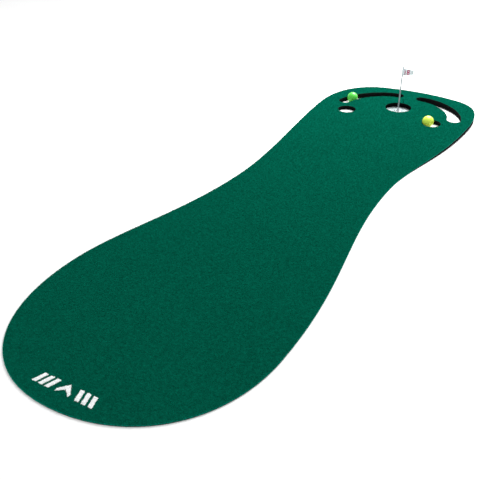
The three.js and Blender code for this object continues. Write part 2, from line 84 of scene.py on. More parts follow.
# The flag.
CLOTH = 0.35 * MM
SLEEVE_RADIUS = 3.45 * MM
FLAG_FRAMES = 24
FLAG_TOP_DROP = 9 * MM  # how far the top edge falls towards the fly
FLY_HEIGHT = 17.5 * MM
SLEEVE_TAIL = 3.08 * MM  # the strip behind the panel that closes the sleeve
WRAP_COLUMNS = 22
PANEL_COLUMNS = 40
FLAG_ROWS = 30
RIPPLE = 0.9 * MM
OVERLAP = 0.55 * MM  # from the panel to the sleeve's tail behind it
FLAG_SAG = 1.5 * MM  # the most that any place of the cloth is let move
DIGIT_LIFT = 0.12 * MM

# The balls.
BALL_RADIUS = 21.335 * MM
COVER = 1.9 * MM
DIMPLES = 336
DIMPLE_RADIUS = 1.8 * MM
DIMPLE_DEPTH = 0.24 * MM
BALL_CUTS = 47

# The light and the camera.
WORLD_STRENGTH = 0.8
LAMP_PLACE = (-0.1, 1.9, 1.6)
LAMP_TARGET = (0, 0.6, 0)
LAMP_SIZE = 1.6
LAMP_POWER = 92
LENS = 53.43
CAMERA_PLACE = (0.8645, -1.7711, 1.0034)
CAMERA_YAW, CAMERA_PITCH, CAMERA_ROLL = (math.radians(a) for a in (-31.115, 30.6, 0.38))

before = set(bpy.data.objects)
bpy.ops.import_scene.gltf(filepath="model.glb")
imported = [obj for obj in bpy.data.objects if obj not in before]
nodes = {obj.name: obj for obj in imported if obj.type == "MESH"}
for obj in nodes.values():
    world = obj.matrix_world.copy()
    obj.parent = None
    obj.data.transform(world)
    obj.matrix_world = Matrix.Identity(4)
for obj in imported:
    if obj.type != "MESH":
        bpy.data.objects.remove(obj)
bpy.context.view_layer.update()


# ---------------------------------------------------------------- modelling helpers


def object_mode():
    if bpy.context.object and bpy.context.object.mode != "OBJECT":
        bpy.ops.object.mode_set(mode="OBJECT")


def only(piece):
    """Makes one object the active and the only selected one."""
    object_mode()
    bpy.ops.object.select_all(action="DESELECT")
    piece.select_set(True)
    bpy.context.view_layer.objects.active = piece


def added(name):
    """Names the primitive that was just added and puts its place into its mesh."""
    piece = bpy.context.object
    piece.name = name
    piece.data.name = name
    only(piece)
    bpy.ops.object.transform_apply(location=True, rotation=True, scale=True)
    return piece


def pick_faces(piece, wanted):
    """Goes into edit mode with only the faces selected that wanted(face) says."""
    only(piece)
    mesh = piece.data
    mesh.vertices.foreach_set("select", [False] * len(mesh.vertices))
    mesh.edges.foreach_set("select", [False] * len(mesh.edges))
    mesh.polygons.foreach_set("select", [bool(wanted(f)) for f in mesh.polygons])
    bpy.ops.object.mode_set(mode="EDIT")
    bpy.ops.mesh.select_mode(type="FACE")


def edit_all(piece):
    only(piece)
    bpy.ops.object.mode_set(mode="EDIT")
    bpy.ops.mesh.select_all(action="SELECT")


def face_out(piece):
    edit_all(piece)
    bpy.ops.mesh.remove_doubles(threshold=0.002 * MM)
    bpy.ops.mesh.normals_make_consistent(inside=False)
    object_mode()


def copy_of(node, name):
    """A merged copy of a CAD node's mesh, as a new piece."""
    piece = bpy.data.objects.new(name, nodes[node].data.copy())
    piece.data.name = name
    piece.data.materials.clear()
    bpy.context.scene.collection.objects.link(piece)
    edit_all(piece)
    bpy.ops.mesh.remove_doubles(threshold=0.01 * MM)
    object_mode()
    return piece


def apply_modifier(piece, kind, name, **settings):
    only(piece)
    modifier = piece.modifiers.new(name, kind)
    for key, value in settings.items():
        setattr(modifier, key, value)
    bpy.ops.object.modifier_apply(modifier=name)


def smooth(piece, angle):
    only(piece)
    bpy.ops.object.shade_smooth_by_angle(angle=math.radians(angle))


def coated(piece, material):
    piece.data.materials.clear()
    piece.data.materials.append(material)
    return piece


def twin(piece):
    """A linked-in copy of a piece, with a mesh of its own."""
    double = piece.copy()
    double.data = piece.data.copy()
    bpy.context.scene.collection.objects.link(double)
    return double


def joined(pieces):
    only(pieces[0])
    for piece in pieces[1:]:
        piece.select_set(True)
    bpy.ops.object.join()
    return pieces[0]


def corners(node):
    low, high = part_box(node)
    return Vector(low), Vector(high)


def middle_of(node):
    low, high = corners(node)
    return (low + high) / 2


def turned(name, profile, centre, turns):
    """A solid spun about a vertical line through centre, from pairs of a radius and an absolute height."""
    bpy.ops.mesh.primitive_plane_add(size=MM, location=centre)
    piece = added(name)
    mesh = bmesh.new()
    points = [mesh.verts.new((centre.x + r, centre.y, z)) for r, z in profile]
    for a, b in zip(points, points[1:]):
        mesh.edges.new((a, b))
    mesh.to_mesh(piece.data)
    mesh.free()
    edit_all(piece)
    bpy.ops.mesh.spin(steps=turns, angle=2 * math.pi, center=(centre.x, centre.y, 0), axis=(0, 0, 1))
    object_mode()
    face_out(piece)
    return piece


# ---------------------------------------------------------------- shader helpers


def new_group(name, inputs, outputs):
    group = bpy.data.node_groups.new(name, "ShaderNodeTree")
    for label, kind, value in inputs:
        socket = group.interface.new_socket(label, in_out="INPUT", socket_type=kind)
        if value is not None:
            socket.default_value = value
    for label, kind in outputs:
        group.interface.new_socket(label, in_out="OUTPUT", socket_type=kind)
    return group, group.nodes.new("NodeGroupInput"), group.nodes.new("NodeGroupOutput")


def noise(tree, vector, scale, detail=2.0, roughness=0.5):
    node = tree.nodes.new("ShaderNodeTexNoise")
    tree.links.new(vector, node.inputs["Vector"])
    if isinstance(scale, (int, float)):
        node.inputs["Scale"].default_value = scale
    else:
        tree.links.new(scale, node.inputs["Scale"])
    node.inputs["Detail"].default_value = detail
    node.inputs["Roughness"].default_value = roughness
    return node.outputs["Fac"]


def maths(tree, operation, first, second=None):
    node = tree.nodes.new("ShaderNodeMath")
    node.operation = operation
    for socket, value in zip(node.inputs, (first, second)):
        if value is None:
            continue
        if isinstance(value, (int, float)):
            socket.default_value = value
        else:
            tree.links.new(value, socket)
    return node.outputs[0]


def mixed(tree, share, first, second):
    node = tree.nodes.new("ShaderNodeMix")
    node.data_type = "RGBA"
    tree.links.new(share, node.inputs[0])
    for socket, value in ((node.inputs[6], first), (node.inputs[7], second)):
        if isinstance(value, tuple):
            socket.default_value = value
        else:
            tree.links.new(value, socket)
    return node.outputs[2]


def spread(tree, value, low, high, to_low=0.0, to_high=1.0):
    node = tree.nodes.new("ShaderNodeMapRange")
    tree.links.new(value, node.inputs["Value"])
    for label, number in zip(("From Min", "From Max", "To Min", "To Max"), (low, high, to_low, to_high)):
        node.inputs[label].default_value = number
    return node.outputs[0]


def make_mottle():
    """Cloudy variation at two sizes: a fine mask and a slow one."""
    group, inside, out = new_group(
        "cloudy_variation",
        [
            ("Vector", "NodeSocketVector", None),
            ("Patches", "NodeSocketFloat", 90.0),
            ("Clouds", "NodeSocketFloat", 4.0),
        ],
        [("Mask", "NodeSocketFloat"), ("Slow", "NodeSocketFloat")],
    )
    fine = noise(group, inside.outputs["Vector"], inside.outputs["Patches"], 3.0, 0.6)
    slow = noise(group, inside.outputs["Vector"], inside.outputs["Clouds"], 2.0, 0.5)
    group.links.new(spread(group, fine, 0.3, 0.7), out.inputs["Mask"])
    group.links.new(spread(group, slow, 0.3, 0.7), out.inputs["Slow"])
    return group


def make_grain():
    """Small closed cells or moulding grain: a height."""
    group, inside, out = new_group(
        "cell_grain",
        [("Vector", "NodeSocketVector", None), ("Cells", "NodeSocketFloat", 900.0)],
        [("Height", "NodeSocketFloat")],
    )
    cells = group.nodes.new("ShaderNodeTexVoronoi")
    cells.feature = "DISTANCE_TO_EDGE"
    group.links.new(inside.outputs["Vector"], cells.inputs["Vector"])
    group.links.new(inside.outputs["Cells"], cells.inputs["Scale"])
    group.links.new(spread(group, cells.outputs["Distance"], 0.0, 0.25), out.inputs["Height"])
    return group


def make_weave():
    """A plain weave of threads along two axes: a height and a thread mask."""
    group, inside, out = new_group(
        "plain_weave",
        [
            ("Across", "NodeSocketFloat", 0.0),
            ("Up", "NodeSocketFloat", 0.0),
            ("Threads", "NodeSocketFloat", 2000.0),
        ],
        [("Height", "NodeSocketFloat"), ("Thread", "NodeSocketFloat")],
    )
    threads = inside.outputs["Threads"]
    across = maths(group, "SINE", maths(group, "MULTIPLY", inside.outputs["Across"], threads))
    up = maths(group, "SINE", maths(group, "MULTIPLY", inside.outputs["Up"], threads))
    crossing = maths(group, "MULTIPLY", across, up)
    height = maths(group, "ADD", maths(group, "ABSOLUTE", across), maths(group, "ABSOLUTE", up))
    group.links.new(height, out.inputs["Height"])
    group.links.new(spread(group, crossing, -1.0, 1.0), out.inputs["Thread"])
    return group


def make_wear():
    """Soft wear and dust where a shape's edges and corners stand out: a mask."""
    group, inside, out = new_group(
        "edge_wear",
        [("Vector", "NodeSocketVector", None), ("Amount", "NodeSocketFloat", 1.0)],
        [("Mask", "NodeSocketFloat")],
    )
    geometry = group.nodes.new("ShaderNodeNewGeometry")
    edge = spread(group, geometry.outputs["Pointiness"], 0.5, 0.58)
    broken = maths(group, "MULTIPLY", edge, noise(group, inside.outputs["Vector"], 400.0, 4.0, 0.6))
    group.links.new(maths(group, "MULTIPLY", broken, inside.outputs["Amount"]), out.inputs["Mask"])
    return group


MOTTLE = make_mottle()
GRAIN = make_grain()
WEAVE = make_weave()
WEAR = make_wear()


def new_material(name, roughness, **sockets):
    """A material with its Principled shader and the object's own coordinates."""
    material = bpy.data.materials.new(name)
    material.use_nodes = True
    tree = material.node_tree
    shader = tree.nodes["Principled BSDF"]
    shader.inputs["Roughness"].default_value = roughness
    for label, value in sockets.items():
        shader.inputs[label.replace("_", " ")].default_value = value
    place = tree.nodes.new("ShaderNodeTexCoord").outputs["Object"]
    return material, tree, shader, place


def placed(tree, group, **values):
    node = tree.nodes.new("ShaderNodeGroup")
    node.node_tree = group
    for label, value in values.items():
        if isinstance(value, (int, float)):
            node.inputs[label].default_value = value
        else:
            tree.links.new(value, node.inputs[label])
    return node.outputs


def bumped(tree, shader, height, strength, distance):
    bump = tree.nodes.new("ShaderNodeBump")
    bump.inputs["Strength"].default_value = strength
    bump.inputs["Distance"].default_value = distance
    tree.links.new(height, bump.inputs["Height"])
    tree.links.new(bump.outputs["Normal"], shader.inputs["Normal"])


def rgb(red, green, blue):
    return (red, green, blue, 1.0)


def pile_material(name, root, dark, light, tip_share):
    """Blades whose colour changes from root to tip, from blade to blade, and in cloudy patches."""
    material, tree, shader, place = new_material(name, 0.8, Specular_IOR_Level=0.0)
    shade = tree.nodes.new("ShaderNodeAttribute")
    shade.attribute_name = "shade"
    tip = tree.nodes.new("ShaderNodeAttribute")
    tip.attribute_name = "tip"
    cloudy = placed(tree, MOTTLE, Vector=place, Patches=62.0, Clouds=5.0)
    share = maths(tree, "MULTIPLY", shade.outputs["Fac"], 0.28)
    share = maths(tree, "ADD", share, maths(tree, "MULTIPLY", cloudy["Mask"], 0.4))
    share = maths(tree, "ADD", share, maths(tree, "MULTIPLY", cloudy["Slow"], 0.32))
    blade = mixed(tree, share, dark, light)
    up = maths(tree, "MULTIPLY", tip.outputs["Fac"], tip_share)
    up = maths(tree, "ADD", up, 1.0 - tip_share)
    tree.links.new(mixed(tree, up, root, blade), shader.inputs["Base Color"])
    return material


def turf_base_material():
    material, tree, shader, place = new_material("turf_base", 0.9, Specular_IOR_Level=0.0)
    cloudy = placed(tree, MOTTLE, Vector=place, Patches=130.0, Clouds=6.0)
    colour = mixed(tree, cloudy["Mask"], rgb(0.0006, 0.055, 0.034), rgb(0.001, 0.095, 0.058))
    tree.links.new(colour, shader.inputs["Base Color"])
    bumped(tree, shader, cloudy["Mask"], 0.4, 0.4 * MM)
    return material


def grained_material(name, dark, light, roughness, cells, depth, wear=0.0):
    """Foam and rubber: a cellular or moulded grain with worn edges."""
    material, tree, shader, place = new_material(name, roughness, Specular_IOR_Level=0.05)
    grain = placed(tree, GRAIN, Vector=place, Cells=cells)
    cloudy = placed(tree, MOTTLE, Vector=place, Patches=300.0, Clouds=20.0)
    colour = mixed(tree, maths(tree, "MULTIPLY", cloudy["Mask"], 0.6), dark, light)
    worn = placed(tree, WEAR, Vector=place, Amount=wear)
    colour = mixed(tree, worn["Mask"], colour, rgb(0.05, 0.05, 0.05))
    tree.links.new(colour, shader.inputs["Base Color"])
    rough = spread(tree, cloudy["Slow"], 0, 1, roughness - 0.08, roughness + 0.06)
    tree.links.new(rough, shader.inputs["Roughness"])
    bumped(tree, shader, grain["Height"], 0.6, depth)
    return material


def woven_material(name, dark, light, threads, axes, roughness=0.8, depth=0.05 * MM, **sockets):
    """Cloth: threads along two of the object's axes, with a soft change of colour."""
    material, tree, shader, place = new_material(name, roughness, **sockets)
    split = tree.nodes.new("ShaderNodeSeparateXYZ")
    tree.links.new(place, split.inputs[0])
    across, up = (split.outputs[axis] for axis in axes)
    weave = placed(tree, WEAVE, Across=across, Up=up, Threads=threads)
    cloudy = placed(tree, MOTTLE, Vector=place, Patches=220.0, Clouds=40.0)
    thread_share = maths(tree, "MULTIPLY", weave["Thread"], 0.5)
    cloud_share = maths(tree, "MULTIPLY", cloudy["Mask"], 0.5)
    share = maths(tree, "ADD", thread_share, cloud_share)
    tree.links.new(mixed(tree, share, dark, light), shader.inputs["Base Color"])
    bumped(tree, shader, weave["Height"], 0.5, depth)
    return material


def pressed_metal(name, dark, light, roughness, centre, lines):
    """Sheet metal with fine turning lines round a centre, faint smudges and a paler worn edge."""
    material, tree, shader, place = new_material(name, roughness, Metallic=1.0)
    about = tree.nodes.new("ShaderNodeMapping")
    about.inputs["Location"].default_value = (-centre.x, -centre.y, 0)
    tree.links.new(place, about.inputs["Vector"])
    length = tree.nodes.new("ShaderNodeVectorMath")
    length.operation = "LENGTH"
    flat = tree.nodes.new("ShaderNodeVectorMath")
    flat.operation = "MULTIPLY"
    flat.inputs[1].default_value = (1, 1, 0)
    tree.links.new(about.outputs[0], flat.inputs[0])
    tree.links.new(flat.outputs[0], length.inputs[0])
    rings = maths(tree, "SINE", maths(tree, "MULTIPLY", length.outputs["Value"], lines))
    cloudy = placed(tree, MOTTLE, Vector=place, Patches=160.0, Clouds=60.0)
    worn = placed(tree, WEAR, Vector=place, Amount=0.8)
    colour = mixed(tree, cloudy["Mask"], dark, light)
    colour = mixed(tree, worn["Mask"], colour, rgb(0.85, 0.86, 0.86))
    tree.links.new(colour, shader.inputs["Base Color"])
    rough = spread(tree, cloudy["Slow"], 0, 1, roughness - 0.07, roughness + 0.1)
    tree.links.new(rough, shader.inputs["Roughness"])
    bumped(tree, shader, maths(tree, "ADD", rings, cloudy["Mask"]), 0.25, 0.04 * MM)
    return material


def moulded_material(name, dark, light, roughness, coat=0.0, grain_depth=0.02 * MM):
    """Moulded plastic: faint cloudiness, a fine skin and scuffs."""
    material, tree, shader, place = new_material(name, roughness, Coat_Weight=coat, Coat_Roughness=0.15)
    cloudy = placed(tree, MOTTLE, Vector=place, Patches=260.0, Clouds=50.0)
    worn = placed(tree, WEAR, Vector=place, Amount=0.3)
    colour = mixed(tree, cloudy["Mask"], dark, light)
    colour = mixed(tree, worn["Mask"], colour, rgb(0.7, 0.7, 0.68))
    tree.links.new(colour, shader.inputs["Base Color"])
    rough = spread(tree, cloudy["Slow"], 0, 1, roughness - 0.05, roughness + 0.08)
    tree.links.new(rough, shader.inputs["Roughness"])
    bumped(tree, shader, noise(tree, place, 1800.0, 2.0), 0.3, grain_depth)
    return material


TURF = pile_material(
    "turf_pile", rgb(0.0006, 0.09, 0.055), rgb(0.0008, 0.19, 0.118), rgb(0.001, 0.33, 0.21), 0.6
)
# The fringe's pile is a lighter copy of the turf pile: painted highlight, for edge blades seen side-on that
# catch more light and less self-shadow.
TURF_EDGE_LIT = pile_material(
    "turf_edge_pile_painted_highlight", rgb(0.001, 0.22, 0.16), rgb(0.001, 0.3, 0.22), rgb(0.002, 0.5, 0.38), 0.5
)
PRINT = pile_material(
    "printed_pile", rgb(0.94, 0.96, 0.96), rgb(0.96, 0.97, 0.97), rgb(1.0, 1.0, 1.0), 0.5
)
TURF_BASE = turf_base_material()
BACKING = woven_material("backing_cloth", rgb(0.012, 0.03, 0.024), rgb(0.03, 0.06, 0.05), 3000.0, (0, 1))
RUBBER = grained_material(
    "underlay_rubber", rgb(0.002, 0.0024, 0.0024), rgb(0.005, 0.0055, 0.0055), 0.75, 420.0, 0.25 * MM
)
FOAM = grained_material(
    "ramp_foam", rgb(0.001, 0.0012, 0.0014), rgb(0.003, 0.0033, 0.0036), 0.92, 900.0, 0.5 * MM, 0.4
)


# ---------------------------------------------------------------- the turf


def blade_shape():
    """One blade: a thin three-sided spike whose tip is 1 and whose foot is 0 in the attribute "tip"."""
    bpy.ops.mesh.primitive_cone_add(
        vertices=3, radius1=BLADE_RADIUS, radius2=0, depth=BLADE_HEIGHT, location=(0, 0, 0)
    )
    blade = added("blade_shape")
    edit_all(blade)
    bpy.ops.transform.translate(value=(0, 0, BLADE_HEIGHT / 2))
    object_mode()
    heights = [v.co.z / BLADE_HEIGHT for v in blade.data.vertices]
    tip = blade.data.attributes.new("tip", "FLOAT", "POINT")
    tip.data.foreach_set("value", heights)
    return blade


def add_node(tree, kind, **settings):
    node = tree.nodes.new(kind)
    for key, value in settings.items():
        setattr(node, key, value)
    return node


def sown(piece, blade, per_m2, seed, lean=BLADE_LEAN, keep_off=None, keep_ground=False, grow=(0.8, 1.2)):
    """Stands blades all over a piece, leaning at random, and applies the result as its mesh."""
    tree = bpy.data.node_groups.new("sown_" + piece.name, "GeometryNodeTree")
    tree.interface.new_socket("Geometry", in_out="INPUT", socket_type="NodeSocketGeometry")
    tree.interface.new_socket("Geometry", in_out="OUTPUT", socket_type="NodeSocketGeometry")
    ground = add_node(tree, "NodeGroupInput").outputs[0]
    out = add_node(tree, "NodeGroupOutput")
    sow = add_node(tree, "GeometryNodeDistributePointsOnFaces", distribute_method="RANDOM")
    sow.inputs["Density"].default_value = per_m2
    sow.inputs["Seed"].default_value = seed
    tree.links.new(ground, sow.inputs["Mesh"])
    points = sow.outputs["Points"]
    if keep_off:
        target = add_node(tree, "GeometryNodeObjectInfo", transform_space="ORIGINAL")
        target.inputs["Object"].default_value = keep_off
        near = add_node(tree, "GeometryNodeProximity", target_element="FACES")
        tree.links.new(target.outputs["Geometry"], near.inputs[0])
        close = add_node(tree, "FunctionNodeCompare", operation="LESS_THAN", data_type="FLOAT")
        tree.links.new(near.outputs["Distance"], close.inputs["A"])
        close.inputs["B"].default_value = PRINT_CLEARANCE
        drop = add_node(tree, "GeometryNodeDeleteGeometry", domain="POINT")
        tree.links.new(points, drop.inputs["Geometry"])
        tree.links.new(close.outputs["Result"], drop.inputs["Selection"])
        points = drop.outputs["Geometry"]
    stand = add_node(tree, "FunctionNodeAlignRotationToVector", axis="Z")
    tree.links.new(sow.outputs["Normal"], stand.inputs["Vector"])
    bend = add_node(tree, "FunctionNodeRandomValue", data_type="FLOAT_VECTOR")
    bend.inputs["Min"].default_value = (-lean, -lean, 0)
    bend.inputs["Max"].default_value = (lean, lean, 2 * math.pi)
    bend.inputs["Seed"].default_value = seed + 1
    turn = add_node(tree, "FunctionNodeRotateRotation", rotation_space="LOCAL")
    tree.links.new(stand.outputs["Rotation"], turn.inputs["Rotation"])
    tree.links.new(bend.outputs["Value"], turn.inputs["Rotate By"])
    size = add_node(tree, "FunctionNodeRandomValue", data_type="FLOAT")
    size.inputs[2].default_value, size.inputs[3].default_value = grow
    size.inputs["Seed"].default_value = seed + 2
    shape = add_node(tree, "GeometryNodeObjectInfo", transform_space="ORIGINAL")
    shape.inputs["Object"].default_value = blade
    put = add_node(tree, "GeometryNodeInstanceOnPoints")
    tree.links.new(points, put.inputs["Points"])
    tree.links.new(shape.outputs["Geometry"], put.inputs["Instance"])
    tree.links.new(turn.outputs["Rotation"], put.inputs["Rotation"])
    tree.links.new(size.outputs[1], put.inputs["Scale"])
    shade = add_node(tree, "FunctionNodeRandomValue", data_type="FLOAT")
    shade.inputs["Seed"].default_value = seed + 3
    store = add_node(tree, "GeometryNodeStoreNamedAttribute", data_type="FLOAT", domain="INSTANCE")
    store.inputs["Name"].default_value = "shade"
    tree.links.new(put.outputs["Instances"], store.inputs["Geometry"])
    tree.links.new(shade.outputs[1], store.inputs["Value"])
    real = add_node(tree, "GeometryNodeRealizeInstances")
    tree.links.new(store.outputs["Geometry"], real.inputs["Geometry"])
    result = real.outputs["Geometry"]
    if keep_ground:
        both = add_node(tree, "GeometryNodeJoinGeometry")
        tree.links.new(ground, both.inputs[0])
        tree.links.new(result, both.inputs[0])
        result = both.outputs[0]
    tree.links.new(result, out.inputs[0])
    apply_modifier(piece, "NODES", "blades", node_group=tree)


def make_turf():
    """The base cloth, bands of blades over it, a fringe round the outer edge, and the printed mark."""
    base = copy_of("turf_pile", "turf_cloth")
    pick_faces(base, lambda f: f.normal.z > 0.5)
    bpy.ops.transform.translate(value=(0, 0, -BLADE_SINK))
    object_mode()
    coated(base, TURF_BASE)
    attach(base, "mat")
    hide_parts("turf_pile")

    blade = blade_shape()
    keep_off = make_print(blade)
    low, high = corners("turf_pile")
    pieces = []
    for band in range(TURF_BANDS):
        start = low.y + (high.y - low.y) * band / TURF_BANDS
        end = low.y + (high.y - low.y) * (band + 1) / TURF_BANDS
        top = twin(base)
        top.name = top.data.name = f"turf_blades_{band + 1}"
        pick_faces(top, lambda f: f.normal.z < 0.5)
        bpy.ops.mesh.delete(type="FACE")
        for edge, clear in ((start, {"clear_inner": True}), (end, {"clear_outer": True})):
            bpy.ops.mesh.select_all(action="SELECT")
            bpy.ops.mesh.bisect(plane_co=(0, edge, 0), plane_no=(0, 1, 0), **clear)
        object_mode()
        sown(top, blade, BLADES_PER_M2, 11 + 7 * band, keep_off=keep_off)
        pieces.append(coated(top, TURF))
    fringe = copy_of("turf_pile", "turf_edge_fringe")
    pick_faces(fringe, lambda f: abs(f.normal.z) > 0.5)
    bpy.ops.mesh.delete(type="FACE")
    object_mode()
    keep_outer_wall(fringe)
    sown(fringe, blade, FRINGE_PER_M2, 101, lean=FRINGE_LEAN, grow=FRINGE_GROW)
    # The fringe's blades take the lighter pile colours, a painted highlight.
    pieces.append(coated(fringe, TURF_EDGE_LIT))
    for piece in pieces:
        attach(piece, "mat")
    bpy.data.objects.remove(keep_off)
    bpy.data.objects.remove(blade)


def keep_outer_wall(walls):
    """Keeps only the outer wall, and draws its lower edge down over the layers under it."""
    mesh = bmesh.new()
    mesh.from_mesh(walls.data)
    mesh.verts.ensure_lookup_table()
    start = min(mesh.verts, key=lambda v: v.co.y)
    outer, waiting = {start}, [start]
    while waiting:
        for edge in waiting.pop().link_edges:
            for vertex in edge.verts:
                if vertex not in outer:
                    outer.add(vertex)
                    waiting.append(vertex)
    for vertex in outer:
        if all(edge.other_vert(vertex).co.z > vertex.co.z - 0.5 * MM for edge in vertex.link_edges):
            vertex.tag = True
    for vertex in outer:
        if vertex.tag:
            vertex.co.z -= FRINGE_DROP
    for vertex in [v for v in mesh.verts if v not in outer]:
        mesh.verts.remove(vertex)
    mesh.to_mesh(walls.data)
    mesh.free()


def make_print(blade):
    """White printed pile over each shape of the mark. Returns one flat object of all the shapes."""
    names = ["mark_arrow"] + [f"mark_bar_{side}_{i}" for side in ("left", "right") for i in (1, 2, 3)]
    flats = []
    for seed, name in enumerate(names):
        piece = copy_of(name, name.replace("mark", "printed"))
        edit_all(piece)
        bpy.ops.transform.translate(value=(0, 0, -BLADE_SINK))
        object_mode()
        flats.append(twin(piece))
        sown(piece, blade, PRINT_PER_M2, 300 + 5 * seed, keep_ground=True)
        coated(piece, PRINT)
        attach(piece, "mat")
        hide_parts(name)
    return joined(flats)


def make_foam():
    """The foam ramp: the cut walls are broken up a little, as cut foam is."""
    foam = copy_of("foam_ramp", "ramp_foam")
    walls = foam.vertex_groups.new(name="walls")
    pick_faces(foam, lambda f: abs(f.normal.z) < 0.5)
    bpy.ops.mesh.subdivide(number_cuts=3)
    bpy.ops.object.vertex_group_assign()
    object_mode()
    lumps = bpy.data.textures.new("foam_lumps", "CLOUDS")
    lumps.noise_scale = FOAM_LUMPS
    apply_modifier(
        foam,
        "DISPLACE",
        "lumps",
        texture=lumps,
        vertex_group=walls.name,
        strength=FOAM_ROUGHNESS,
        mid_level=0.75,
        direction="NORMAL",
        texture_coords="LOCAL",
    )
    floor_level(foam)
    coated(foam, FOAM)
    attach(foam, "mat")
    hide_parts("foam_ramp")


def floor_level(piece):
    """Keeps a piece from reaching below the floor."""
    for vertex in piece.data.vertices:
        vertex.co.z = max(vertex.co.z, 0.0)


def make_layers():
    """The layers under the turf keep their CAD shapes."""
    coated(nodes["turf_backing"], BACKING)
    coated(nodes["rubber_underlay"], RUBBER)


# ---------------------------------------------------------------- the cup plate and the flagstick

cup = middle_of("cup_plate")
STEEL = pressed_metal("zinc_plated_steel", rgb(0.42, 0.43, 0.44), rgb(0.6, 0.61, 0.62), 0.35, cup, 9000.0)
PLATE = pressed_metal("pressed_plate", rgb(0.15, 0.185, 0.185), rgb(0.22, 0.26, 0.26), 0.5, cup, 5200.0)
WHITE = moulded_material("white_moulding", rgb(0.68, 0.74, 0.78), rgb(0.76, 0.81, 0.85), 0.38, 0.2)
# The stick is white plastic, but its colour is set grey, much darker than the white moulding: painted shade
# for its shaded side.
STICK = moulded_material("flagstick_white_painted_grey", rgb(0.30, 0.36, 0.40), rgb(0.38, 0.44, 0.48), 0.34, 0.3)


def make_plate():
    """A pressed plate: a rolled rim, radial ribs, drain holes and a raised hub, turned from one profile."""
    low, high = corners("cup_plate")
    radius = (high.x - low.x) / 2
    hub_top = high.z
    web = low.z + WEB_HEIGHT
    rim = low.z + RIM_HEIGHT
    web_edge = radius - RIM_WIDTH
    profile = [
        (radius, low.z),
        (radius, rim - 0.9 * MM),
        (radius - 0.26 * MM, rim - 0.26 * MM),
        (radius - 0.9 * MM, rim),
        (radius - 2.4 * MM, rim),
        (radius - 3.2 * MM, web + 0.1 * MM),
        (web_edge, web),
    ]
    profile += [(web_edge - (web_edge - HUB_FOOT) * i / WEB_RINGS, web) for i in range(1, WEB_RINGS + 1)]
    profile += [
        (13.2 * MM, web + 0.5 * MM),
        (11.8 * MM, hub_top - 0.35 * MM),
        (10.6 * MM, hub_top),
        (1.5 * MM, hub_top),
    ]
    plate = turned("pressed_cup_plate", profile, cup, PLATE_TURNS)
    rib_inner, rib_outer = RIB_START, radius - RIB_STOP
    for vertex in plate.data.vertices:
        x, y = vertex.co.x - cup.x, vertex.co.y - cup.y
        distance = math.hypot(x, y)
        along = (distance - rib_inner) / (rib_outer - rib_inner)
        if not 0 < along < 1:
            continue
        turn = (math.atan2(y, x) * PLATE_RIBS / (2 * math.pi)) % 1
        across = min(turn, 1 - turn) * 2 * math.pi / PLATE_RIBS * distance
        swell = max(0.0, 1 - (across / RIB_HALF_WIDTH) ** 2) * min(1, 6 * along, 6 * (1 - along))
        vertex.co.z += RIB_RISE * swell
    edit_all(plate)
    bpy.ops.mesh.normals_make_consistent(inside=False)
    object_mode()
    if sum(f.normal.z * f.area for f in plate.data.polygons) < 0:
        edit_all(plate)
        bpy.ops.mesh.flip_normals()
        object_mode()
    apply_modifier(plate, "SOLIDIFY", "sheet", thickness=PLATE_SHEET, offset=-1, use_even_offset=True)
    drains = []
    for i in range(PLATE_RIBS):
        turn = 2 * math.pi * (i + 0.5) / PLATE_RIBS
        reach = (rib_inner + rib_outer) / 2
        place = (cup.x + reach * math.cos(turn), cup.y + reach * math.sin(turn), web)
        bpy.ops.mesh.primitive_cylinder_add(vertices=32, radius=DRAIN_RADIUS, depth=8 * MM, location=place)
        drains.append(added(f"drain_{i}"))
    cutter = joined(drains)
    apply_modifier(plate, "BOOLEAN", "drains", operation="DIFFERENCE", object=cutter, solver="EXACT")
    bpy.data.objects.remove(cutter)
    floor_level(plate)
    smooth(plate, 40)
    coated(plate, PLATE)
    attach(plate, "cup")
    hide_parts("cup_plate")


def rounded(points, radius, steps=4):
    """A profile whose inner corners are rounded."""
    result = [points[0]]
    for before, corner, after in zip(points, points[1:], points[2:]):
        a, b, c = Vector(before), Vector(corner), Vector(after)
        cut = min(radius, (a - b).length / 2, (c - b).length / 2)
        start, end = b + (a - b).normalized() * cut, b + (c - b).normalized() * cut
        for i in range(steps + 1):
            t = i / steps
            result.append(tuple(start * (1 - t) ** 2 + b * 2 * t * (1 - t) + end * t**2))
    return result + [points[-1]]


def finished(piece, node, body, material, angle=40):
    smooth(piece, angle)
    coated(piece, material)
    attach(piece, body)
    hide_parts(node)
    return piece


